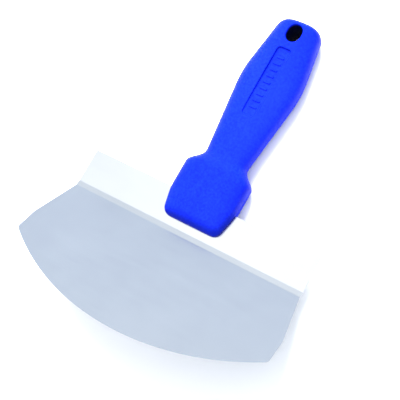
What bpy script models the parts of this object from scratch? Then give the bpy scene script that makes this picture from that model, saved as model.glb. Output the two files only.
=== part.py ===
"""Bent bucket scoop: a curved-edge steel blade whose upright flange is held in a moulded handle.

The handle lies on its back along +Y with the flange inside it, and the scoop blade rises towards
-Y and +Z. X runs along the bend. The origin is on the flat back of the handle's bulb.
Everything is in metres.
"""

import math

import bmesh
import bpy
import numpy as np
from mathutils import Matrix, Vector

# Placement: the bend's upper tangent line and the flange's middle plane in the row frame
BEND_Y = -0.0270
FLANGE_Z = 0.00975

# Blade, measured on the flat sheet before it is bent
SHEET = 0.0006
BEND_RADIUS = 0.0110
BEND_ANGLE = math.radians(26.3)
BEND_STEPS = 10
FLANGE_HEIGHT = 0.0249
FLANGE_HALF = 0.0923
SIDE_BREAK_HALF = 0.1010
SIDE_BREAK_DOWN = 0.0399
CORNER_HALF = 0.1016
CORNER_DOWN = 0.0574
EDGE_SAG = 0.0327
CORNER_RADIUS = 0.0040
EDGE_GROUND = 0.0005
ARC_STEPS = 56

# Handle, measured upwards from the bend's upper tangent line
HANDLE_LOW = 0.0051
HANDLE_TOP = 0.1682
BULB_LOW_WIDTH = 0.0446
BULB_WIDTH = 0.0519
BULB_FULL_AT = 0.0260
BULB_END = 0.0450
BULB_DEPTH = 0.0195
NECK_AT = 0.0566
NECK_WIDTH = 0.0329
NECK_DEPTH = 0.0165
SHOULDER_LAG = 0.0025
GRIP_AT = 0.1208
GRIP_WIDTH = 0.0479
GRIP_DEPTH = 0.0188
END_WIDTH = 0.0326
END_DEPTH = 0.0184
NOSE_DEPTH = 0.0087
NOSE_END = 0.0260
GRIP_SOFT = 0.0060
LOW_CORNER = 0.0052
LOW_ROUND = 0.0075
TOP_CORNER = 0.0072
TOP_ROUND = 0.0037
BULB_SQUARE = 3.3
GRIP_SQUARE = 2.6
BACK_CORNER = 0.0078
FRONT_STEPS = 26
CORNER_STEPS = 6

# Hang hole, a slot with round ends that narrows towards the back
HOLE_AT = 0.1576
HOLE_WIDTH = 0.0112
HOLE_LENGTH = 0.0138
HOLE_DRAFT = 0.0020

# Sunk panel on the handle's front, with plain cross bars in place of any mark
PANEL_AT = 0.1176
PANEL_LENGTH = 0.0544
PANEL_WIDTH = 0.0105
PANEL_CORNER = 0.0022
PANEL_SUNK = 0.0009
BAR_COUNT = 9
BAR_PITCH = 0.0050
BAR_LENGTH = 0.0060
BAR_WIDTH = 0.0016
BAR_HEIGHT = 0.0006

# Tang plate and rivets, hidden in the handle
GAP = 0.0003
TANG_WIDTH = 0.0220
TANG_THICK = 0.0020
TANG_LOW = 0.0070
TANG_TOP = 0.0740
TANG_END_RADIUS = 0.0060
RIVET_SPREAD = 0.0065
RIVET_AT = 0.0150
RIVET_RADIUS = 0.0020
RIVET_HEAD_RADIUS = 0.0038
RIVET_HEAD = 0.0011


def clear_objects():
    for ob in list(bpy.data.objects):
        bpy.data.objects.remove(ob, do_unlink=True)


def material(name, colour, metallic, roughness):
    mat = bpy.data.materials.new(name)
    mat.use_nodes = True
    shader = mat.node_tree.nodes["Principled BSDF"]
    shader.inputs["Base Color"].default_value = (*colour, 1.0)
    shader.inputs["Metallic"].default_value = metallic
    shader.inputs["Roughness"].default_value = roughness
    mat.diffuse_color = (*colour, 1.0)
    return mat


def link(bm, name, mat=None):
    """The finished bmesh as a named object with its faces turned outwards."""
    bmesh.ops.recalc_face_normals(bm, faces=bm.faces)
    mesh = bpy.data.meshes.new(name)
    bm.to_mesh(mesh)
    bm.free()
    ob = bpy.data.objects.new(name, mesh)
    bpy.context.scene.collection.objects.link(ob)
    if mat is not None:
        mesh.materials.append(mat)
    return ob


def smooth(ob, degrees=30.0):
    """Smooth shading with the edges sharper than this kept crisp."""
    mesh = ob.data
    bm = bmesh.new()
    bm.from_mesh(mesh)
    for face in bm.faces:
        face.smooth = True
    for edge in bm.edges:
        if len(edge.link_faces) == 2:
            edge.smooth = edge.calc_face_angle(0.0) < math.radians(degrees)
    bm.to_mesh(mesh)
    bm.free()


def cutter(ob):
    ob.hide_render = True
    ob.display_type = "WIRE"
    return ob


def combine(ob, tool, operation="DIFFERENCE"):
    """Applies one exact boolean and removes the tool."""
    mod = ob.modifiers.new(operation.lower(), "BOOLEAN")
    mod.operation = operation
    mod.solver = "EXACT"
    mod.object = tool
    graph = bpy.context.evaluated_depsgraph_get()
    mesh = bpy.data.meshes.new_from_object(ob.evaluated_get(graph))
    ob.modifiers.remove(mod)
    old = ob.data
    ob.data = mesh
    mesh.name = ob.name
    bpy.data.meshes.remove(old)
    bpy.data.objects.remove(tool, do_unlink=True)


def extrude_outline(points, low, high):
    """A closed outline in X and Y as a prism from low to high in Z."""
    bm = bmesh.new()
    bottom = [bm.verts.new((x, y, low)) for x, y in points]
    top = [bm.verts.new((x, y, high)) for x, y in points]
    bm.faces.new(list(reversed(bottom)))
    bm.faces.new(top)
    count = len(points)
    for i in range(count):
        j = (i + 1) % count
        bm.faces.new((bottom[i], bottom[j], top[j], top[i]))
    return bm


def rounded_rectangle(width, length, radius, steps, centre=(0.0, 0.0)):
    points = []
    for turn, (sx, sy) in enumerate(((1, 1), (-1, 1), (-1, -1), (1, -1))):
        cx = centre[0] + sx * (width / 2 - radius)
        cy = centre[1] + sy * (length / 2 - radius)
        for k in range(steps + 1):
            angle = math.pi / 2 * (turn + k / steps)
            points.append((cx + radius * math.cos(angle), cy + radius * math.sin(angle)))
    kept = []
    for point in points:
        if not kept or math.dist(point, kept[-1]) > 1e-6:
            kept.append(point)
    if math.dist(kept[0], kept[-1]) <= 1e-6:
        kept.pop()
    return kept


def box(low, high):
    (x0, y0, z0), (x1, y1, z1) = low, high
    return extrude_outline([(x0, y0), (x1, y0), (x1, y1), (x0, y1)], z0, z1)


def ease(t):
    t = min(max(t, 0.0), 1.0)
    return t * t * (3 - 2 * t)


def between(at, start, first, end, last, straight=0.0):
    """From first to last with soft ends; straight mixes in a plain taper."""
    t = min(max((at - start) / (end - start), 0.0), 1.0)
    return first + (last - first) * ((1 - straight) * ease(t) + straight * t)


def round_in(distance, radius):
    """How far a rounded end steps in at this distance from its tip."""
    if distance >= radius:
        return 0.0
    return radius - math.sqrt(max(radius**2 - (radius - distance) ** 2, 0.0))


def grip_width(at):
    """The grip's two straight tapers, widest where they meet, with the meeting softened."""
    rise = (GRIP_WIDTH - NECK_WIDTH) / (GRIP_AT - NECK_AT)
    fall = (END_WIDTH - GRIP_WIDTH) / (HANDLE_TOP - GRIP_AT)
    rising = GRIP_WIDTH + rise * (at - GRIP_AT)
    falling = GRIP_WIDTH + fall * (at - GRIP_AT)
    overlap = max(GRIP_SOFT - abs(rising - falling), 0.0)
    return min(rising, falling) - overlap**2 / (4 * GRIP_SOFT)


def handle_width(at):
    if at <= BULB_END:
        width = between(at, HANDLE_LOW, BULB_LOW_WIDTH, BULB_FULL_AT, BULB_WIDTH, 0.4)
    elif at <= NECK_AT:
        width = between(at, BULB_END, BULB_WIDTH, NECK_AT, NECK_WIDTH)
    else:
        width = grip_width(at)
    width -= 2 * round_in(at - HANDLE_LOW, LOW_CORNER)
    return width - 2 * round_in(HANDLE_TOP - at, TOP_CORNER)


def handle_depths(at):
    """How far the front and the back stand off the flange's middle plane."""
    full, thin = BULB_END + SHOULDER_LAG, NECK_AT + SHOULDER_LAG
    if at <= full:
        depth = BULB_DEPTH
    elif at <= thin:
        depth = between(at, full, BULB_DEPTH, thin, NECK_DEPTH)
    elif at <= GRIP_AT:
        depth = between(at, thin, NECK_DEPTH, GRIP_AT, GRIP_DEPTH)
    else:
        depth = between(at, GRIP_AT, GRIP_DEPTH, HANDLE_TOP, END_DEPTH)
    front = back = depth / 2
    if at < NOSE_END:
        front = between(at, HANDLE_LOW, NOSE_DEPTH, NOSE_END, depth / 2, 0.5)
    ends = round_in(at - HANDLE_LOW, LOW_ROUND) + round_in(HANDLE_TOP - at, TOP_ROUND)
    return front - ends, back - ends


def handle_stations():
    """Where the handle's cross sections stand: close together on its rounded parts."""
    turn = np.linspace(0.0, math.pi / 2, 7)
    low = HANDLE_LOW + LOW_CORNER * (1 - np.cos(turn))
    top = HANDLE_TOP - TOP_CORNER * (1 - np.cos(np.linspace(0.0, math.pi / 2, 9)))
    spans = (
        low,
        np.linspace(HANDLE_LOW + LOW_CORNER, BULB_END, 7),
        np.linspace(BULB_END, NECK_AT, 11),
        np.linspace(NECK_AT, GRIP_AT, 13),
        np.linspace(GRIP_AT, HANDLE_TOP - TOP_CORNER, 10),
        np.sort(top),
    )
    stations = np.unique(np.round(np.concatenate(spans), 7))
    return [float(at) for at in stations]


def handle_section(at):
    """One cross section: a crowned front with soft shoulders over a flat, round-cornered back."""
    half = handle_width(at) / 2
    front, back = handle_depths(at)
    square = between(at, BULB_END - 0.004, BULB_SQUARE, NECK_AT, GRIP_SQUARE)
    points = []
    for k in range(FRONT_STEPS + 1):
        angle = math.pi * k / FRONT_STEPS
        across = abs(math.cos(angle)) ** (2 / square)
        rise = abs(math.sin(angle)) ** (2 / square)
        points.append((math.copysign(half * across, math.cos(angle)), front * rise))
    corner = min(BACK_CORNER, half - 0.0005, back - 0.0005)
    for side in (-1, 1):
        for k in range(CORNER_STEPS + 1):
            angle = math.pi / 2 * k / CORNER_STEPS
            out = math.cos(angle) if side < 0 else math.sin(angle)
            down = math.sin(angle) if side < 0 else math.cos(angle)
            points.append((side * (half - corner + corner * out), corner - back - corner * down))
    return points


def handle_body(mat):
    """The moulding's outside, lofted through its cross sections."""
    bm = bmesh.new()
    rings = []
    for at in handle_stations():
        rings.append([bm.verts.new((x, BEND_Y + at, FLANGE_Z + z)) for x, z in handle_section(at)])
    count = len(rings[0])
    for low, high in zip(rings, rings[1:]):
        for i in range(count):
            j = (i + 1) % count
            bm.faces.new((low[i], low[j], high[j], high[i]))
    bm.faces.new(rings[0])
    bm.faces.new(list(reversed(rings[-1])))
    return link(bm, "handle", mat)


def slot_cutter():
    """Room for the flange, open at both sides and at the lower end."""
    half = SHEET / 2 + GAP
    low = (-0.04, BEND_Y + HANDLE_LOW - 0.002, FLANGE_Z - half)
    high = (0.04, BEND_Y + FLANGE_HEIGHT + GAP, FLANGE_Z + half)
    return cutter(link(box(low, high), "cut_slot"))


def tang_cutter():
    """Room for the tang behind the flange. It opens into the slot."""
    width = TANG_WIDTH + 2 * GAP
    length = TANG_TOP - TANG_LOW + 2 * GAP
    centre = BEND_Y + (TANG_TOP + TANG_LOW) / 2
    top = FLANGE_Z - SHEET / 2
    bottom = top - TANG_THICK - 2 * GAP
    outline = rounded_rectangle(width, length, TANG_END_RADIUS, 6, (0.0, centre))
    return cutter(link(extrude_outline(outline, bottom, top), "cut_tang"))


def head_cutters():
    """Round wells for the rivets' heads, in front of the flange and behind the tang."""
    front = FLANGE_Z + SHEET / 2 + 2 * GAP + RIVET_HEAD
    back = FLANGE_Z - SHEET / 2 - TANG_THICK - 3 * GAP - RIVET_HEAD
    tools = []
    for place in rivet_places():
        outline = round_outline(place, RIVET_HEAD_RADIUS + GAP)
        tools.append(cutter(link(extrude_outline(outline, back, front), "cut_head")))
    return tools


def hole_cutter():
    """The hang hole's slot, drafted from the front face down to the back."""
    centre = (0.0, BEND_Y + HOLE_AT)
    bm = bmesh.new()
    rings = []
    for z, inset in ((-0.001, HOLE_DRAFT), (FLANGE_Z + GRIP_DEPTH / 2, 0.0), (0.03, 0.0)):
        width = HOLE_WIDTH - 2 * inset
        outline = rounded_rectangle(width, HOLE_LENGTH - 2 * inset, width * 0.4999, 10, centre)
        rings.append([bm.verts.new((x, y, z)) for x, y in outline])
    count = len(rings[0])
    for low, high in zip(rings, rings[1:]):
        for i in range(count):
            j = (i + 1) % count
            bm.faces.new((low[i], low[j], high[j], high[i]))
    bm.faces.new(list(reversed(rings[0])))
    bm.faces.new(rings[-1])
    return cutter(link(bm, "cut_hole"))


def front_face(at):
    return FLANGE_Z + handle_depths(at)[0]


def panel_floor():
    """The panel's flat floor, below the lowest point of the front along it."""
    ends = (PANEL_AT - PANEL_LENGTH / 2, PANEL_AT, PANEL_AT + PANEL_LENGTH / 2)
    return min(front_face(at) for at in ends) - PANEL_SUNK


def panel_cutter():
    outline = rounded_rectangle(
        PANEL_WIDTH, PANEL_LENGTH, PANEL_CORNER, 6, (0.0, BEND_Y + PANEL_AT)
    )
    return cutter(link(extrude_outline(outline, panel_floor(), 0.03), "cut_panel"))


def panel_bar(index):
    at = PANEL_AT + BAR_PITCH * (index - (BAR_COUNT - 1) / 2)
    outline = rounded_rectangle(
        BAR_LENGTH, BAR_WIDTH, BAR_WIDTH * 0.499, 3, (0.0, BEND_Y + at)
    )
    floor = panel_floor()
    return cutter(link(extrude_outline(outline, floor - 0.0005, floor + BAR_HEIGHT), "bar"))


def make_handle(mat):
    handle = handle_body(mat)
    for tool in [slot_cutter(), tang_cutter(), *head_cutters(), hole_cutter(), panel_cutter()]:
        combine(handle, tool)
    for index in range(BAR_COUNT):
        combine(handle, panel_bar(index), "UNION")
    smooth(handle)
    return handle


def corner_arc(before, corner, after, radius, steps=5):
    """Points that round a corner of the blade's outline."""
    corner = Vector(corner)
    first = (Vector(before) - corner).normalized()
    second = (Vector(after) - corner).normalized()
    half = first.angle(second) / 2
    centre = corner + (first + second).normalized() * (radius / math.sin(half))
    start = corner + first * (radius / math.tan(half)) - centre
    end = corner + second * (radius / math.tan(half)) - centre
    turn = start.angle_signed(end)
    points = []
    for k in range(steps + 1):
        spun = Matrix.Rotation(-turn * k / steps, 2) @ start
        points.append(tuple(centre + spun))
    return points


def lower_outline():
    """The scoop face's free edge from its right side round to its left, on the flat sheet."""
    radius = (CORNER_HALF**2 + EDGE_SAG**2) / (2 * EDGE_SAG)
    centre = CORNER_DOWN + EDGE_SAG - radius
    reach = math.asin(CORNER_HALF / radius)
    arc = []
    for k in range(ARC_STEPS + 1):
        angle = reach - 2 * reach * k / ARC_STEPS
        arc.append((radius * math.sin(angle), centre + radius * math.cos(angle)))
    right = corner_arc((SIDE_BREAK_HALF, SIDE_BREAK_DOWN), arc[0], arc[2], CORNER_RADIUS)
    left = [(-x, down) for x, down in reversed(right)]
    inner = [p for p in arc if abs(p[0]) < min(abs(right[-1][0]), abs(left[0][0])) - 0.0008]
    sides = [(SIDE_BREAK_HALF, SIDE_BREAK_DOWN)]
    return sides + right + inner + left + [(-SIDE_BREAK_HALF, SIDE_BREAK_DOWN)]


def on_sheet(x, down, offset):
    """A point of the flat sheet carried round the bend, offset towards the scoop's inside."""
    angle = min(max(down / BEND_RADIUS, 0.0), BEND_ANGLE)
    rest = max(down - BEND_RADIUS * BEND_ANGLE, 0.0)
    y = -BEND_RADIUS * math.sin(angle) - rest * math.cos(angle)
    z = BEND_RADIUS * (1 - math.cos(angle)) + rest * math.sin(angle)
    if down < 0:
        y = -down
    y += offset * math.sin(angle)
    z += offset * math.cos(angle)
    return (x, BEND_Y + y, FLANGE_Z + z)


def set_in(points, inset):
    """An open outline moved towards its inside, as the sheet's back is where the edge is ground."""
    moved = []
    for i, (x, down) in enumerate(points):
        before = points[max(i - 1, 0)]
        after = points[min(i + 1, len(points) - 1)]
        along = (Vector(after) - Vector(before)).normalized()
        moved.append((x - along.y * inset, down + along.x * inset))
    return moved


def blade_sheet(mat):
    bend_length = BEND_RADIUS * BEND_ANGLE
    rows = [-FLANGE_HEIGHT]
    rows += [bend_length * k / BEND_STEPS for k in range(BEND_STEPS + 1)]
    free_edge = lower_outline()
    bm = bmesh.new()
    sides = []
    for offset, outline in ((SHEET / 2, free_edge), (-SHEET / 2, set_in(free_edge, EDGE_GROUND))):
        pairs = []
        for down in rows:
            left = bm.verts.new(on_sheet(-FLANGE_HALF, down, offset))
            right = bm.verts.new(on_sheet(FLANGE_HALF, down, offset))
            pairs.append((left, right))
        edge = [bm.verts.new(on_sheet(x, down, offset)) for x, down in outline]
        for upper, lower in zip(pairs, pairs[1:]):
            bm.faces.new((upper[0], upper[1], lower[1], lower[0]))
        bm.faces.new([pairs[-1][0], pairs[-1][1]] + edge)
        loop = [p[1] for p in pairs] + edge + [p[0] for p in reversed(pairs)]
        sides.append(loop)
    count = len(sides[0])
    for i in range(count):
        j = (i + 1) % count
        bm.faces.new((sides[0][i], sides[0][j], sides[1][j], sides[1][i]))
    return link(bm, "blade", mat)


def rivet_places():
    return ((-RIVET_SPREAD, BEND_Y + RIVET_AT), (RIVET_SPREAD, BEND_Y + RIVET_AT))


def round_outline(centre, radius, steps=24):
    points = []
    for k in range(steps):
        angle = 2 * math.pi * k / steps
        points.append((centre[0] + radius * math.cos(angle), centre[1] + radius * math.sin(angle)))
    return points


def drill_rivet_holes(ob, low, high):
    for place in rivet_places():
        outline = round_outline(place, RIVET_RADIUS + GAP)
        combine(ob, cutter(link(extrude_outline(outline, low, high), "cut_rivet")))


def make_blade(mat):
    blade = blade_sheet(mat)
    drill_rivet_holes(blade, FLANGE_Z - 0.004, FLANGE_Z + 0.004)
    smooth(blade)
    return blade


def make_tang(mat):
    length = TANG_TOP - TANG_LOW
    centre = BEND_Y + (TANG_TOP + TANG_LOW) / 2
    top = FLANGE_Z - SHEET / 2 - GAP
    outline = rounded_rectangle(TANG_WIDTH, length, TANG_END_RADIUS - GAP, 6, (0.0, centre))
    tang = link(extrude_outline(outline, top - TANG_THICK, top), "tang", mat)
    drill_rivet_holes(tang, FLANGE_Z - 0.006, FLANGE_Z + 0.004)
    smooth(tang)
    return tang


def make_rivet(name, place, mat):
    """A shank with a domed head at each end, turned about its own axis."""
    front = SHEET / 2 + GAP
    back = -(SHEET / 2 + TANG_THICK + 2 * GAP)
    profile = [(RIVET_HEAD_RADIUS * 0.45, front + RIVET_HEAD)]
    profile += [(RIVET_HEAD_RADIUS * 0.8, front + RIVET_HEAD * 0.75)]
    profile += [(RIVET_HEAD_RADIUS, front + RIVET_HEAD * 0.3), (RIVET_HEAD_RADIUS, front)]
    profile += [(RIVET_RADIUS, front), (RIVET_RADIUS, back), (RIVET_HEAD_RADIUS, back)]
    profile += [(RIVET_HEAD_RADIUS, back - RIVET_HEAD * 0.3)]
    profile += [(RIVET_HEAD_RADIUS * 0.8, back - RIVET_HEAD * 0.75)]
    profile += [(RIVET_HEAD_RADIUS * 0.45, back - RIVET_HEAD)]
    bm = bmesh.new()
    rings = []
    for radius, z in profile:
        outline = round_outline(place, radius)
        rings.append([bm.verts.new((x, y, FLANGE_Z + z)) for x, y in outline])
    count = len(rings[0])
    for upper, lower in zip(rings, rings[1:]):
        for i in range(count):
            j = (i + 1) % count
            bm.faces.new((upper[i], upper[j], lower[j], lower[i]))
    bm.faces.new(rings[0])
    bm.faces.new(list(reversed(rings[-1])))
    rivet = link(bm, name, mat)
    smooth(rivet)
    return rivet


def main():
    clear_objects()
    plastic = material("blue_plastic", (0.004, 0.030, 0.80), 0.0, 0.45)
    steel = material("spring_steel", (0.57, 0.60, 0.64), 1.0, 0.30)
    tang_steel = material("tang_steel", (0.45, 0.46, 0.48), 1.0, 0.45)
    rivet_steel = material("rivet_steel", (0.60, 0.60, 0.62), 1.0, 0.35)
    make_blade(steel)
    make_handle(plastic)
    make_tang(tang_steel)
    left, right = rivet_places()
    make_rivet("rivet_left", left, rivet_steel)
    make_rivet("rivet_right", right, rivet_steel)


main()
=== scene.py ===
"""Looks for the bent bucket scoop: a moulded handle and a satin steel blade on a pale studio floor."""

import math

import bmesh
import bpy
import numpy as np
from mathutils import Matrix, Vector


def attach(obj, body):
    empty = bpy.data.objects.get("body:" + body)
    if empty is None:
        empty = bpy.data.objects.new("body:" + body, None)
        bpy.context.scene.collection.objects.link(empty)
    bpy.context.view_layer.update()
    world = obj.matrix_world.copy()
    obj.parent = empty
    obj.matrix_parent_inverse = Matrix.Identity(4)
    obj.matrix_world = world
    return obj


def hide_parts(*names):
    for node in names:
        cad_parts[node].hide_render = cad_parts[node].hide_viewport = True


# ---------------------------------------------------------------- frame

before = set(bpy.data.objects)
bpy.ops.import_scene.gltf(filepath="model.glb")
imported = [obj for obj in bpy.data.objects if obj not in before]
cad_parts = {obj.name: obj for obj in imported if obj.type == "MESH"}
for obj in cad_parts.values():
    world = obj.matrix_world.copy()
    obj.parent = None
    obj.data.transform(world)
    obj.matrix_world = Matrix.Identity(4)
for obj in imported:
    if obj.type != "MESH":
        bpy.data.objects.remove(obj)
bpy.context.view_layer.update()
scene = bpy.context.scene

# Same driving sizes as the CAD part, in metres
BEND_Y = -0.0270
FLANGE_Z = 0.00975
SHEET = 0.0006
BEND_RADIUS = 0.0110
BEND_ANGLE = math.radians(26.3)
BEND_LENGTH = BEND_RADIUS * BEND_ANGLE
FLANGE_HEIGHT = 0.0249
FLANGE_HALF = 0.0923
BREAK_HALF = 0.1010
BREAK_DOWN = 0.0399
CORNER_HALF = 0.1016
CORNER_DOWN = 0.0574
EDGE_SAG = 0.0327
CORNER_RADIUS = 0.0040
EDGE_GROUND = 0.0005

LOW = 0.0051
TOP = 0.1682
BULB_LOW_WIDTH = 0.0446
BULB_WIDTH = 0.0519
BULB_FULL_AT = 0.0260
BULB_END = 0.0450
BULB_DEPTH = 0.0195
NECK_AT = 0.0566
NECK_WIDTH = 0.0329
NECK_DEPTH = 0.0165
SHOULDER_LAG = 0.0025
GRIP_AT = 0.1208
GRIP_WIDTH = 0.0479
GRIP_DEPTH = 0.0188
END_WIDTH = 0.0326
END_DEPTH = 0.0184
NOSE_DEPTH = 0.0087
NOSE_END = 0.0260
GRIP_SOFT = 0.0060
LOW_CORNER = 0.0052
LOW_ROUND = 0.0075
TOP_CORNER = 0.0072
TOP_ROUND = 0.0037
BULB_SQUARE = 3.3
GRIP_SQUARE = 2.6
BACK_CORNER = 0.0078

HOLE_AT = 0.1576
HOLE_WIDTH = 0.0112
HOLE_LENGTH = 0.0138
HOLE_DRAFT = 0.0020
PANEL_AT = 0.1176
PANEL_LENGTH = 0.0544
PANEL_WIDTH = 0.0105
PANEL_CORNER = 0.0022
PANEL_SUNK = 0.0009
BAR_COUNT = 9
BAR_PITCH = 0.0050
BAR_LENGTH = 0.0060
BAR_WIDTH = 0.0016
BAR_HEIGHT = 0.0006

GAP = 0.0003
TANG_WIDTH = 0.0220
TANG_THICK = 0.0020
TANG_LOW = 0.0070
TANG_TOP = 0.0740
TANG_END_RADIUS = 0.0060
RIVET_SPREAD = 0.0065
RIVET_AT = 0.0150
RIVET_RADIUS = 0.0020
RIVET_HEAD_RADIUS = 0.0038
RIVET_HEAD = 0.0011

# Finer detail than the CAD part has
HANDLE_VOXEL = 0.00054
HOLE_FLARE = 0.0003
PANEL_LEAN = 0.0003
NECK_SPREAD = 0.0022
FOLD = 0.0011
FOLD_STEPS = 9
BEND_SAMPLES = 120
RIM_ROUND = 0.00006
CLEAR = 0.003  # how far a cutting tool reaches past the surface that it opens
# Painted shade inside the hang hole: how far it reaches past the hole's outline, and how far below the
# front it starts and fades in
PAINTED_SHADE_MARGIN = 0.0004
PAINTED_SHADE_DEPTH = 0.0012

# ---------------------------------------------------------------- mesh helpers


def new_object(bm, name):
    bmesh.ops.recalc_face_normals(bm, faces=bm.faces)
    mesh = bpy.data.meshes.new(name)
    bm.to_mesh(mesh)
    bm.free()
    ob = bpy.data.objects.new(name, mesh)
    scene.collection.objects.link(ob)
    return ob


def apply_modifiers(ob):
    graph = bpy.context.evaluated_depsgraph_get()
    mesh = bpy.data.meshes.new_from_object(ob.evaluated_get(graph))
    ob.modifiers.clear()
    old = ob.data
    ob.data = mesh
    mesh.name = ob.name
    bpy.data.meshes.remove(old)


def boolean(ob, tool, operation="DIFFERENCE"):
    mod = ob.modifiers.new("cut", "BOOLEAN")
    mod.operation = operation
    mod.solver = "EXACT"
    mod.object = tool
    apply_modifiers(ob)
    bpy.data.objects.remove(tool, do_unlink=True)


def sharp_edges(ob, angle):
    """Smooth shading all over, broken at the edges that turn by more than the angle."""
    bm = bmesh.new()
    bm.from_mesh(ob.data)
    for face in bm.faces:
        face.smooth = True
    for edge in bm.edges:
        edge.smooth = edge.calc_face_angle(0.0) < angle
    bm.to_mesh(ob.data)
    bm.free()


def prism(points, low, high):
    """A closed outline in X and Y, as a prism between two heights."""
    bm = bmesh.new()
    bottom = [bm.verts.new((x, y, low)) for x, y in points]
    top = [bm.verts.new((x, y, high)) for x, y in points]
    bm.faces.new(list(reversed(bottom)))
    bm.faces.new(top)
    count = len(points)
    for i in range(count):
        j = (i + 1) % count
        bm.faces.new((bottom[i], bottom[j], top[j], top[i]))
    return bm


def loft(rings):
    """Closed rings of the same count as one closed body."""
    bm = bmesh.new()
    loops = [[bm.verts.new(p) for p in ring] for ring in rings]
    count = len(loops[0])
    for low, high in zip(loops, loops[1:]):
        for i in range(count):
            j = (i + 1) % count
            bm.faces.new((low[i], low[j], high[j], high[i]))
    bm.faces.new(loops[0])
    bm.faces.new(list(reversed(loops[-1])))
    return bm


def rounded_rectangle(width, length, radius, steps, centre=(0.0, 0.0)):
    points = []
    for turn, (sx, sy) in enumerate(((1, 1), (-1, 1), (-1, -1), (1, -1))):
        cx = centre[0] + sx * (width / 2 - radius)
        cy = centre[1] + sy * (length / 2 - radius)
        for k in range(steps + 1):
            angle = math.pi / 2 * (turn + k / steps)
            points.append((cx + radius * math.cos(angle), cy + radius * math.sin(angle)))
    kept = []
    for point in points:
        if not kept or math.dist(point, kept[-1]) > 1e-7:
            kept.append(point)
    if math.dist(kept[0], kept[-1]) <= 1e-7:
        kept.pop()
    return kept


def ease(t):
    t = min(max(t, 0.0), 1.0)
    return t * t * (3 - 2 * t)


def between(at, start, first, end, last, straight=0.0):
    """From first to last with soft ends; straight mixes in a plain taper."""
    t = min(max((at - start) / (end - start), 0.0), 1.0)
    return first + (last - first) * ((1 - straight) * ease(t) + straight * t)


def round_in(distance, radius):
    """How far a rounded end steps in at this distance from its tip."""
    if distance >= radius:
        return 0.0
    return radius - math.sqrt(max(radius**2 - (radius - distance) ** 2, 0.0))


# ---------------------------------------------------------------- handle


def grip_width(at):
    """The grip's two straight tapers, widest where they meet, with the meeting softened."""
    rise = (GRIP_WIDTH - NECK_WIDTH) / (GRIP_AT - NECK_AT)
    fall = (END_WIDTH - GRIP_WIDTH) / (TOP - GRIP_AT)
    rising = GRIP_WIDTH + rise * (at - GRIP_AT)
    falling = GRIP_WIDTH + fall * (at - GRIP_AT)
    overlap = max(GRIP_SOFT - abs(rising - falling), 0.0)
    return min(rising, falling) - overlap**2 / (4 * GRIP_SOFT)


def side_width(at):
    if at <= BULB_END:
        return between(at, LOW, BULB_LOW_WIDTH, BULB_FULL_AT, BULB_WIDTH, 0.4)
    if at <= NECK_AT:
        return between(at, BULB_END, BULB_WIDTH, NECK_AT, NECK_WIDTH)
    return grip_width(at)


def full_depth(at):
    full, thin = BULB_END + SHOULDER_LAG, NECK_AT + SHOULDER_LAG
    if at <= full:
        return BULB_DEPTH
    if at <= thin:
        return between(at, full, BULB_DEPTH, thin, NECK_DEPTH)
    if at <= GRIP_AT:
        return between(at, thin, NECK_DEPTH, GRIP_AT, GRIP_DEPTH)
    return between(at, GRIP_AT, GRIP_DEPTH, TOP, END_DEPTH)


def handle_width(at):
    """The mean of near neighbours, which softens the corner where the neck meets the taper."""
    spread = NECK_SPREAD if NECK_AT - 0.004 < at < TOP - TOP_CORNER else 0.0
    width = sum(side_width(at + d * spread) for d in (-1, -0.5, 0, 0.5, 1)) / 5
    width -= 2 * round_in(at - LOW, LOW_CORNER)
    return width - 2 * round_in(TOP - at, TOP_CORNER)


def handle_depths(at):
    """How far the front and the back stand off the flange's middle plane."""
    depth = full_depth(at)
    front = back = depth / 2
    if at < NOSE_END:
        front = between(at, LOW, NOSE_DEPTH, NOSE_END, depth / 2, 0.5)
    ends = round_in(at - LOW, LOW_ROUND) + round_in(TOP - at, TOP_ROUND)
    return front - ends, back - ends


def handle_section(at):
    """A crowned front with soft shoulders over a flat, round-cornered back."""
    half = handle_width(at) / 2
    front, back = handle_depths(at)
    square = between(at, BULB_END - 0.004, BULB_SQUARE, NECK_AT, GRIP_SQUARE)
    points = []
    for k in range(57):
        angle = math.pi * k / 56
        across = abs(math.cos(angle)) ** (2 / square)
        rise = abs(math.sin(angle)) ** (2 / square)
        points.append((math.copysign(half * across, math.cos(angle)), front * rise))
    corner = min(BACK_CORNER, half - 0.0005, back - 0.0005)
    for side in (-1, 1):
        for k in range(11):
            angle = math.pi / 2 * k / 10
            out = math.cos(angle) if side < 0 else math.sin(angle)
            down = math.sin(angle) if side < 0 else math.cos(angle)
            points.append((side * (half - corner + corner * out), corner - back - corner * down))
    return [(x, BEND_Y + at, FLANGE_Z + z) for x, z in points]


def handle_stations():
    turn = np.linspace(0.0, math.pi / 2, 11)
    low = LOW + LOW_CORNER * (1 - np.cos(turn))
    top = TOP - TOP_CORNER * (1 - np.cos(np.linspace(0.0, math.pi / 2, 17)))
    middle = np.arange(LOW + LOW_CORNER, TOP - TOP_CORNER, 0.0009)
    stations = np.unique(np.round(np.concatenate((low, middle, top)), 6))
    return [float(at) for at in stations]


def front_face(at):
    return FLANGE_Z + handle_depths(at)[0]


def panel_floor():
    ends = (PANEL_AT - PANEL_LENGTH / 2, PANEL_AT, PANEL_AT + PANEL_LENGTH / 2)
    return min(front_face(at) for at in ends) - PANEL_SUNK


def circle(centre, radius, steps=40):
    turns = [2 * math.pi * k / steps for k in range(steps)]
    return [(centre[0] + radius * math.cos(t), centre[1] + radius * math.sin(t)) for t in turns]


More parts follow.
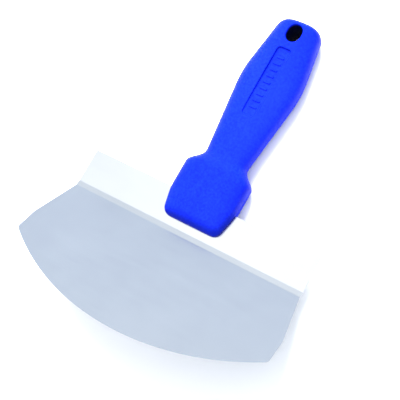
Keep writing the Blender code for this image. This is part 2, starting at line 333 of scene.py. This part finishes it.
def hole_tool():
    """The hang hole: a slot with round ends, drafted to the back, its rims a little flared."""
    centre = (0.0, BEND_Y + HOLE_AT)
    low = FLANGE_Z - handle_depths(HOLE_AT)[1]
    high = FLANGE_Z + handle_depths(HOLE_AT)[0]
    turns = [math.pi / 2 * k / 4 for k in range(5)]
    curve = [(HOLE_FLARE * k / 4, HOLE_FLARE * (1 - math.sin(t))) for k, t in enumerate(turns)]
    stack = [(low - CLEAR, HOLE_FLARE - HOLE_DRAFT)]
    stack += [(low + z, grow - HOLE_DRAFT) for z, grow in curve]
    stack += [(high - z, grow) for z, grow in reversed(curve)]
    stack += [(high + CLEAR, HOLE_FLARE)]
    rings = []
    for z, grow in stack:
        width = HOLE_WIDTH + 2 * grow
        outline = rounded_rectangle(width, HOLE_LENGTH + 2 * grow, width * 0.4999, 14, centre)
        rings.append([(x, y, z) for x, y in outline])
    return new_object(loft(rings), "tool_hole")


def handle_tools():
    """What is cut out of the handle: the flange's slot, the tang's room, the wells and the hole."""
    half = SHEET / 2 + GAP
    low, high = BEND_Y + LOW - CLEAR, BEND_Y + FLANGE_HEIGHT + GAP
    reach = BULB_WIDTH / 2 + CLEAR
    slot = [(-reach, low), (reach, low), (reach, high), (-reach, high)]
    tools = [new_object(prism(slot, FLANGE_Z - half, FLANGE_Z + half), "tool_slot")]
    top = FLANGE_Z - SHEET / 2
    tang = rounded_rectangle(
        TANG_WIDTH + 2 * GAP,
        TANG_TOP - TANG_LOW + 2 * GAP,
        TANG_END_RADIUS,
        8,
        (0.0, BEND_Y + (TANG_TOP + TANG_LOW) / 2),
    )
    tools.append(new_object(prism(tang, top - TANG_THICK - 2 * GAP, top), "tool_tang"))
    front = FLANGE_Z + SHEET / 2 + 2 * GAP + RIVET_HEAD
    back = top - TANG_THICK - 3 * GAP - RIVET_HEAD
    for side in (-1, 1):
        place = (side * RIVET_SPREAD, BEND_Y + RIVET_AT)
        well = circle(place, RIVET_HEAD_RADIUS + GAP)
        tools.append(new_object(prism(well, back, front), "tool_well"))
    tools.append(hole_tool())
    return tools


def panel_tool():
    """The sunk panel, its walls leaning out a little so that the lit ones show."""
    floor = panel_floor()
    rim = floor + PANEL_SUNK + PANEL_LEAN
    stack = [(floor, -PANEL_LEAN), (rim, PANEL_LEAN), (rim + CLEAR, PANEL_LEAN)]
    rings = []
    for z, grow in stack:
        width, length = PANEL_WIDTH + 2 * grow, PANEL_LENGTH + 2 * grow
        outline = rounded_rectangle(width, length, PANEL_CORNER + grow, 8, (0.0, BEND_Y + PANEL_AT))
        rings.append([(x, y, z) for x, y in outline])
    return new_object(loft(rings), "tool_panel")


def bar(index):
    """One of the plain bars across the panel."""
    at = PANEL_AT + BAR_PITCH * (index - (BAR_COUNT - 1) / 2)
    outline = rounded_rectangle(
        BAR_LENGTH, BAR_WIDTH, BAR_WIDTH * 0.499, 6, (0.0, BEND_Y + at)
    )
    floor = panel_floor()
    return new_object(prism(outline, floor - 0.0005, floor + BAR_HEIGHT), "tool_bar")


def make_handle():
    """The moulding: a fine loft, remeshed so that its edges are soft, then the crisp panel cut in."""
    handle = new_object(loft([handle_section(at) for at in handle_stations()]), "handle_moulding")
    for tool in handle_tools():
        boolean(handle, tool)
    remesh = handle.modifiers.new("remesh", "REMESH")
    remesh.mode = "VOXEL"
    remesh.voxel_size = HANDLE_VOXEL
    soften = handle.modifiers.new("soften", "SMOOTH")
    soften.factor = 0.5
    soften.iterations = 1
    apply_modifiers(handle)
    boolean(handle, panel_tool())
    for index in range(BAR_COUNT):
        boolean(handle, bar(index), "UNION")
    sharp_edges(handle, math.radians(38))
    return handle


# ---------------------------------------------------------------- blade


def corner_arc(before, corner, after, radius, steps=8):
    """Points that round a corner of the blade's outline."""
    corner = Vector(corner)
    first = (Vector(before) - corner).normalized()
    second = (Vector(after) - corner).normalized()
    half = first.angle(second) / 2
    centre = corner + (first + second).normalized() * (radius / math.sin(half))
    start = corner + first * (radius / math.tan(half)) - centre
    end = corner + second * (radius / math.tan(half)) - centre
    turn = start.angle_signed(end)
    return [
        tuple(centre + Matrix.Rotation(-turn * k / steps, 2) @ start) for k in range(steps + 1)
    ]


def free_edge():
    """The scoop face's edge from its right side round to its left, on the flat sheet."""
    radius = (CORNER_HALF**2 + EDGE_SAG**2) / (2 * EDGE_SAG)
    centre = CORNER_DOWN + EDGE_SAG - radius
    reach = math.asin(CORNER_HALF / radius)
    arc = []
    for k in range(141):
        angle = reach - 2 * reach * k / 140
        arc.append((radius * math.sin(angle), centre + radius * math.cos(angle)))
    right = corner_arc((BREAK_HALF, BREAK_DOWN), arc[0], arc[3], CORNER_RADIUS)
    soft = corner_arc((FLANGE_HALF, 0.004), (BREAK_HALF, BREAK_DOWN), arc[0], 0.012, 5)
    left = [(-x, down) for x, down in reversed(right)]
    inner = [p for p in arc if abs(p[0]) < right[-1][0] - 0.0005]
    return soft + right + inner + left + [(-x, down) for x, down in reversed(soft)]


def set_in(points, inset):
    """An open outline moved towards its inside, for the back of the ground edge."""
    moved = []
    for i, (x, down) in enumerate(points):
        before = points[max(i - 1, 0)]
        after = points[min(i + 1, len(points) - 1)]
        along = (Vector(after) - Vector(before)).normalized()
        moved.append((x - along.y * inset, down + along.x * inset))
    return moved


def sheet_angle(down):
    """The sheet is folded twice: a narrow plain band at half the angle lies between the folds."""
    first = ease(down / FOLD)
    second = ease((down - BEND_LENGTH + FOLD) / FOLD)
    return BEND_ANGLE * (first + second) / 2


def on_sheet(x, down, offset):
    """A point of the flat sheet carried round the two folds, offset towards the scoop's inside."""
    angle = sheet_angle(down)
    y, z = -min(down, 0.0), 0.0
    within = min(max(down, 0.0), BEND_LENGTH)
    step = within / BEND_SAMPLES
    for k in range(BEND_SAMPLES):
        slope = sheet_angle(step * (k + 0.5))
        y -= step * math.cos(slope)
        z += step * math.sin(slope)
    rest = max(down - BEND_LENGTH, 0.0)
    y -= rest * math.cos(angle)
    z += rest * math.sin(angle)
    return (x, BEND_Y + y + offset * math.sin(angle), FLANGE_Z + z + offset * math.cos(angle))


def make_blade():
    """The bent sheet, its free edge ground from behind, with a small round on every edge."""
    folds = [FOLD * k / FOLD_STEPS for k in range(FOLD_STEPS + 1)]
    rows = [-FLANGE_HEIGHT] + folds + [BEND_LENGTH - down for down in reversed(folds)]
    edge_line = free_edge()
    bm = bmesh.new()
    sides = []
    for offset, outline in ((SHEET / 2, edge_line), (-SHEET / 2, set_in(edge_line, EDGE_GROUND))):
        pairs = []
        for down in rows:
            left = bm.verts.new(on_sheet(-FLANGE_HALF, down, offset))
            right = bm.verts.new(on_sheet(FLANGE_HALF, down, offset))
            pairs.append((left, right))
        edge = [bm.verts.new(on_sheet(x, down, offset)) for x, down in outline]
        for upper, lower in zip(pairs, pairs[1:]):
            bm.faces.new((upper[0], upper[1], lower[1], lower[0]))
        bm.faces.new([pairs[-1][0], pairs[-1][1]] + edge)
        sides.append([p[1] for p in pairs] + edge + [p[0] for p in reversed(pairs)])
    count = len(sides[0])
    for i in range(count):
        j = (i + 1) % count
        bm.faces.new((sides[0][i], sides[0][j], sides[1][j], sides[1][i]))
    blade = new_object(bm, "blade_sheet")
    for side in (-1, 1):
        well = circle((side * RIVET_SPREAD, BEND_Y + RIVET_AT), RIVET_RADIUS + GAP)
        boolean(blade, new_object(prism(well, FLANGE_Z - CLEAR, FLANGE_Z + CLEAR), "tool_rivet"))
    rim = blade.modifiers.new("rim", "BEVEL")
    rim.width = RIM_ROUND
    rim.segments = 2
    rim.limit_method = "ANGLE"
    rim.angle_limit = math.radians(50)
    rim.use_clamp_overlap = True
    apply_modifiers(blade)
    sharp_edges(blade, math.radians(32))
    weights = blade.modifiers.new("even_normals", "WEIGHTED_NORMAL")
    weights.keep_sharp = True
    apply_modifiers(blade)
    return blade


# ---------------------------------------------------------------- materials


class Nodes:
    """Short names for building a material's node tree."""

    def __init__(self, name):
        self.material = bpy.data.materials.new(name)
        self.material.use_nodes = True
        self.tree = self.material.node_tree
        self.shader = self.tree.nodes["Principled BSDF"]
        self.place = self.add("ShaderNodeTexCoord").outputs["Object"]

    def add(self, kind, **settings):
        node = self.tree.nodes.new(kind)
        for key, value in settings.items():
            setattr(node, key, value)
        return node

    def link(self, source, target):
        self.tree.links.new(source, target)

    def stretched(self, scale, turn=(0.0, 0.0, 0.0)):
        node = self.add("ShaderNodeMapping")
        node.inputs["Scale"].default_value = scale
        node.inputs["Rotation"].default_value = turn
        self.link(self.place, node.inputs["Vector"])
        return node.outputs["Vector"]

    def noise(self, scale, detail=3.0, rough=0.5, vector=None):
        node = self.add("ShaderNodeTexNoise")
        node.inputs["Scale"].default_value = scale
        node.inputs["Detail"].default_value = detail
        node.inputs["Roughness"].default_value = rough
        self.link(vector if vector is not None else self.place, node.inputs["Vector"])
        return node.outputs["Fac"]

    def span(self, value, low, high, to_low, to_high):
        node = self.add("ShaderNodeMapRange")
        node.inputs["From Min"].default_value = low
        node.inputs["From Max"].default_value = high
        node.inputs["To Min"].default_value = to_low
        node.inputs["To Max"].default_value = to_high
        self.link(value, node.inputs["Value"])
        return node.outputs["Result"]

    def maths(self, operation, first, second):
        node = self.add("ShaderNodeMath", operation=operation)
        for socket, value in zip(node.inputs, (first, second)):
            if isinstance(value, (int, float)):
                socket.default_value = value
            else:
                self.link(value, socket)
        return node.outputs["Value"]

    def ramp(self, value, stops):
        node = self.add("ShaderNodeValToRGB")
        elements = node.color_ramp.elements
        while len(elements) < len(stops):
            elements.new(0.5)
        for element, (position, colour) in zip(elements, stops):
            element.position = position
            element.color = (*colour, 1.0)
        self.link(value, node.inputs["Fac"])
        return node.outputs["Color"]

    def bump(self, height, distance, strength, normal=None):
        node = self.add("ShaderNodeBump")
        node.inputs["Distance"].default_value = distance
        node.inputs["Strength"].default_value = strength
        self.link(height, node.inputs["Height"])
        if normal is not None:
            self.link(normal, node.inputs["Normal"])
        return node.outputs["Normal"]


def painted_hole_shade(n):
    """Mask of the painted shade: one inside the hang hole, below its rim, and nothing elsewhere."""
    across = 1 / (HOLE_WIDTH / 2 + PAINTED_SHADE_MARGIN)
    along = 1 / (HOLE_LENGTH / 2 + PAINTED_SHADE_MARGIN)
    centre = n.add("ShaderNodeMapping")
    centre.inputs["Location"].default_value = (0.0, -(BEND_Y + HOLE_AT) * along, 0.0)
    centre.inputs["Scale"].default_value = (across, along, 0.0)
    n.link(n.place, centre.inputs["Vector"])
    reach = n.add("ShaderNodeVectorMath", operation="LENGTH")
    n.link(centre.outputs["Vector"], reach.inputs[0])
    split = n.add("ShaderNodeSeparateXYZ")
    n.link(n.place, split.inputs["Vector"])
    inside = n.span(reach.outputs["Value"], 1.03, 1.10, 1.0, 0.0)
    rim = FLANGE_Z + GRIP_DEPTH / 2 - PAINTED_SHADE_DEPTH
    below = n.span(split.outputs["Z"], rim - PAINTED_SHADE_DEPTH, rim, 1.0, 0.0)
    return n.maths("MULTIPLY", inside, below)


def plastic_material():
    """Blue moulded plastic with a fine spark-eroded grain and slight flow marks, and painted shade inside
    the hang hole.
    """
    n = Nodes("blue_moulded_plastic")
    grain = n.noise(1500.0, 2.0, 0.55)
    pores = n.noise(640.0, 3.0, 0.6)
    flow = n.noise(55.0, 4.0, 0.6, n.stretched((1.0, 0.35, 1.0)))
    cloud = n.noise(16.0, 2.0, 0.5)
    mix = n.maths("ADD", n.maths("MULTIPLY", flow, 0.3), n.maths("MULTIPLY", pores, 0.7))
    tint = n.maths("ADD", n.maths("MULTIPLY", mix, 0.75), n.maths("MULTIPLY", cloud, 0.25))
    colour = n.ramp(
        tint,
        [
            (0.38, (0.0006, 0.0084, 0.430)),
            (0.50, (0.0017, 0.0138, 0.490)),
            (0.62, (0.0036, 0.0196, 0.550)),
        ],
    )
    # Painted shade: a near-black blue is mixed in inside the hang hole, standing in for the shade that
    # falls there
    painted_shade_mix = n.add("ShaderNodeMix", data_type="RGBA")
    n.link(painted_hole_shade(n), painted_shade_mix.inputs["Factor"])
    n.link(colour, painted_shade_mix.inputs[6])
    painted_shade_mix.inputs[7].default_value = (0.0004, 0.0012, 0.0200, 1.0)
    n.link(painted_shade_mix.outputs[2], n.shader.inputs["Base Color"])
    n.link(n.span(pores, 0.3, 0.7, 0.42, 0.56), n.shader.inputs["Roughness"])
    n.shader.inputs["Specular IOR Level"].default_value = 0.11
    n.shader.inputs["IOR"].default_value = 1.49
    coarse = n.bump(pores, 0.00022, 0.60)
    fine = n.bump(grain, 0.00010, 0.50, coarse)
    n.link(fine, n.shader.inputs["Normal"])
    return n.material


def steel_material(name, stops, rough, grain_scale):
    """Satin steel: fine lines along the bend, faint cloudiness and a few hairline rubs."""
    n = Nodes(name)
    lines = n.noise(grain_scale, 4.0, 0.65, n.stretched((0.030, 1.0, 1.0)))
    broad = n.noise(200.0, 3.0, 0.6, n.stretched((0.12, 1.0, 1.0)))
    cloud = n.noise(24.0, 3.0, 0.55)
    rubs = n.noise(900.0, 2.0, 0.5, n.stretched((0.03, 1.0, 1.0), (0.0, 0.0, 0.62)))
    rub_mask = n.span(rubs, 0.70, 0.78, 0.0, 1.0)
    tone = n.maths("ADD", n.maths("MULTIPLY", broad, 0.3), n.maths("MULTIPLY", cloud, 0.7))
    colour = n.ramp(tone, stops)
    n.link(colour, n.shader.inputs["Base Color"])
    n.shader.inputs["Metallic"].default_value = 1.0
    base = n.span(lines, 0.3, 0.7, rough - 0.006, rough + 0.006)
    patchy = n.maths("ADD", base, n.maths("MULTIPLY", n.span(cloud, 0.3, 0.7, -1.0, 1.0), 0.004))
    n.link(n.maths("SUBTRACT", patchy, n.maths("MULTIPLY", rub_mask, 0.006)), n.shader.inputs["Roughness"])
    first = n.bump(lines, 0.00002, 0.025)
    second = n.bump(rubs, 0.00002, 0.012, first)
    n.link(second, n.shader.inputs["Normal"])
    return n.material


def floor_material():
    n = Nodes("pale_floor")
    cloud = n.noise(3.0, 3.0, 0.5)
    colour = n.ramp(cloud, [(0.3, (0.90, 0.905, 0.91)), (0.7, (0.93, 0.93, 0.935))])
    n.link(colour, n.shader.inputs["Base Color"])
    n.shader.inputs["Roughness"].default_value = 0.9
    n.shader.inputs["Specular IOR Level"].default_value = 0.1
    return n.material


def paint(ob, material):
    ob.data.materials.clear()
    ob.data.materials.append(material)


# ---------------------------------------------------------------- studio

KEY_PLACE = (-0.54, 0.78, 0.73)
KEY_TARGET = (0.0, 0.02, 0.0)
KEY_SIZE = 0.9
KEY_POWER = 74.0
SKY_STRENGTH = 1.9

CAMERA_TURN = math.radians(24.0)
CAMERA_TILT = math.radians(-8.89)
CAMERA_ROLL = math.radians(29.76)
CAMERA_DISTANCE = 0.71275
CAMERA_LENS = 94.5927  # mm, on a sensor 36 mm wide
BEND_ASIDE = -0.009569  # how far the bend's middle lies right of the picture's middle
BEND_ABOVE = -0.022182  # and how far above it


def make_camera():
    """From the front right of the handle, a little from the blade's side, rolled to the right."""
    turn, tilt = CAMERA_TURN, CAMERA_TILT
    back = Vector(
        (
            math.sin(turn) * math.cos(tilt),
            math.sin(tilt),
            math.cos(turn) * math.cos(tilt),
        )
    )
    level = Vector((math.cos(turn), 0.0, -math.sin(turn)))
    rise = back.cross(level)
    right = math.cos(CAMERA_ROLL) * level + math.sin(CAMERA_ROLL) * rise
    up = math.cos(CAMERA_ROLL) * rise - math.sin(CAMERA_ROLL) * level
    bend = Vector((0.0, BEND_Y, FLANGE_Z))
    place = bend + CAMERA_DISTANCE * back - BEND_ASIDE * right - BEND_ABOVE * up
    data = bpy.data.cameras.new("camera")
    data.sensor_width = 36.0
    data.lens = CAMERA_LENS
    data.clip_start = 0.01
    data.clip_end = 20.0
    camera = bpy.data.objects.new("camera", data)
    scene.collection.objects.link(camera)
    camera.matrix_world = Matrix(
        (
            (right.x, up.x, back.x, place.x),
            (right.y, up.y, back.y, place.y),
            (right.z, up.z, back.z, place.z),
            (0.0, 0.0, 0.0, 1.0),
        )
    )
    scene.camera = camera


def make_key_light():
    """One square softbox from the left and behind; it lights but does not show in the steel."""
    data = bpy.data.lights.new("key_softbox", "AREA")
    data.shape = "RECTANGLE"
    data.size = data.size_y = KEY_SIZE
    data.energy = KEY_POWER
    light = bpy.data.objects.new("key_softbox", data)
    scene.collection.objects.link(light)
    light.location = KEY_PLACE
    towards = Vector(KEY_TARGET) - Vector(KEY_PLACE)
    light.rotation_euler = towards.to_track_quat("-Z", "Y").to_euler()
    light.visible_glossy = False


def make_floor():
    bm = prism([(-3, -3), (3, -3), (3, 3), (-3, 3)], -0.02, 0.0)
    floor = new_object(bm, "floor")
    paint(floor, floor_material())


def make_world():
    """A sky in bands: white overhead to show in the flange, greyer lower down for the bend and blade."""
    world = bpy.data.worlds.new("studio")
    world.use_nodes = True
    tree = world.node_tree
    background = tree.nodes["Background"]
    background.inputs["Strength"].default_value = SKY_STRENGTH
    place = tree.nodes.new("ShaderNodeTexCoord")
    split = tree.nodes.new("ShaderNodeSeparateXYZ")
    ramp = tree.nodes.new("ShaderNodeValToRGB")
    stops = [
        (0.00, (0.55, 0.57, 0.60)),
        (0.30, (0.48, 0.525, 0.60)),
        (0.49, (0.455, 0.518, 0.632)),
        (0.60, (0.570, 0.610, 0.650)),
        (0.775, (0.590, 0.625, 0.655)),
        (0.810, (0.37, 0.41, 0.47)),
        (0.840, (1.00, 1.00, 1.00)),
        (0.958, (1.00, 1.00, 1.00)),
        (1.00, (0.66, 0.69, 0.74)),
    ]
    elements = ramp.color_ramp.elements
    while len(elements) < len(stops):
        elements.new(0.5)
    for element, (position, colour) in zip(elements, stops):
        element.position = position
        element.color = (*colour, 1.0)
    tree.links.new(place.outputs["Generated"], split.inputs["Vector"])
    tree.links.new(split.outputs["Z"], ramp.inputs["Fac"])
    tree.links.new(ramp.outputs["Color"], background.inputs["Color"])
    scene.world = world


def make_studio():
    make_floor()
    make_world()
    make_camera()
    make_key_light()
    scene.view_settings.view_transform = "Standard"
    scene.view_settings.look = "None"


# ---------------------------------------------------------------- assembly

handle = make_handle()
paint(handle, plastic_material())
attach(handle, "root")
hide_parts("handle")

BLADE_TONES = [
    (0.32, (0.552, 0.582, 0.624)),
    (0.50, (0.570, 0.600, 0.640)),
    (0.68, (0.588, 0.618, 0.656)),
]
HIDDEN_TONES = [
    (0.32, (0.40, 0.41, 0.43)),
    (0.50, (0.47, 0.48, 0.50)),
    (0.68, (0.54, 0.55, 0.57)),
]
blade = make_blade()
paint(blade, steel_material("satin_spring_steel", BLADE_TONES, 0.26, 2400.0))
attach(blade, "root")
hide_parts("blade")

paint(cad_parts["tang"], steel_material("rolled_steel", HIDDEN_TONES, 0.42, 1500.0))
rivet_steel = steel_material("rivet_steel", HIDDEN_TONES, 0.36, 1900.0)
paint(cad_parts["rivet_left"], rivet_steel)
paint(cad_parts["rivet_right"], rivet_steel)

make_studio()
